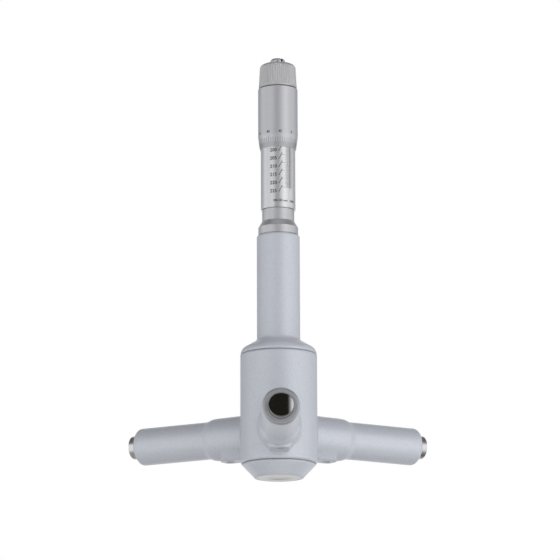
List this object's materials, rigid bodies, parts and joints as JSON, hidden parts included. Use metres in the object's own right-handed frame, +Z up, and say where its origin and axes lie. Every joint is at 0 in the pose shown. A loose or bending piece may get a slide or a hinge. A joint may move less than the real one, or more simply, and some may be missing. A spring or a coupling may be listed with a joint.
{
  "type": "inside micrometer",
  "caption": "Bore-measuring micrometer with radial arms whose contacts are pushed out by a cone as the thimble on its long handle turns.",
  "frame": {"origin": "centre of the flat foot of the bottom cap, on the axis of the instrument", "axes": "+Z up along the axis, from the foot to the ratchet; the front arm points to -Y, and the other two to 30 and 150 degrees from +X"},
  "size_m": [0.1792, 0.156, 0.2542],
  "materials": {
    "silver_enamel": "silver-grey enamel, semi-gloss",
    "satin_chrome": "satin",
    "hardened_steel": "ground",
    "screw_steel": "machined",
    "spring_steel": "drawn wire",
    "bush_bronze": "machined"
  },
  "bodies": {
    "frame": {"head_body": "silver_enamel", "bottom_cap": "silver_enamel", "arm_front": "silver_enamel", "arm_right": "silver_enamel", "arm_left": "silver_enamel", "guide_screw_front": "screw_steel", "guide_screw_right": "screw_steel", "guide_screw_left": "screw_steel", "handle_tube": "silver_enamel", "rod_bush": "bush_bronze", "stem": "satin_chrome", "sleeve": "satin_chrome", "adjusting_nut": "hardened_steel", "anvil_spring_front": "spring_steel", "anvil_spring_right": "spring_steel", "anvil_spring_left": "spring_steel", "rod_spring": "spring_steel"},
    "cone_carriage": {"measuring_cone": "hardened_steel", "push_rod": "hardened_steel", "thrust_ball": "hardened_steel"},
    "thimble_unit": {"thimble": "satin_chrome", "spindle": "hardened_steel", "drive_crown": "hardened_steel", "ratchet_screw": "screw_steel"},
    "ratchet_unit": {"ratchet_cap": "satin_chrome", "ratchet_crown": "hardened_steel", "ratchet_spring": "spring_steel"},
    "contact_front": {"anvil_front": "hardened_steel"},
    "contact_right": {"anvil_right": "hardened_steel"},
    "contact_left": {"anvil_left": "hardened_steel"}
  },
  "joints": [
    {"name": "cone_travel", "type": "slide", "parent": "frame", "child": "cone_carriage", "axis": [0, 0, -1], "range_m": [0, 0.025], "deforming": ["rod_spring"]},
    {"name": "thimble_turn", "type": "hinge", "parent": "cone_carriage", "child": "thimble_unit", "pos_m": [0, 0, 0.2], "axis": [0, 0, -1], "range_deg": [0, 18000]},
    {"name": "ratchet_turn", "type": "hinge", "parent": "thimble_unit", "child": "ratchet_unit", "pos_m": [0, 0, 0.245], "axis": [0, 0, -1], "continuous": true},
    {"name": "anvil_front_slide", "type": "slide", "parent": "frame", "child": "contact_front", "axis": [0, -1, 0], "range_m": [0, 0.0125], "deforming": ["anvil_spring_front"]},
    {"name": "anvil_right_slide", "type": "slide", "parent": "frame", "child": "contact_right", "axis": [0.866, 0.5, 0], "range_m": [0, 0.0125], "deforming": ["anvil_spring_right"]},
    {"name": "anvil_left_slide", "type": "slide", "parent": "frame", "child": "contact_left", "axis": [-0.866, 0.5, 0], "range_m": [0, 0.0125], "deforming": ["anvil_spring_left"]}
  ],
  "couplings": [
    {"joint": "thimble_turn", "follows": "cone_travel", "rad_per_m": 12566},
    {"joint": "anvil_front_slide", "follows": "cone_travel", "ratio": 0.5},
    {"joint": "anvil_right_slide", "follows": "cone_travel", "ratio": 0.5},
    {"joint": "anvil_left_slide", "follows": "cone_travel", "ratio": 0.5}
  ]
}
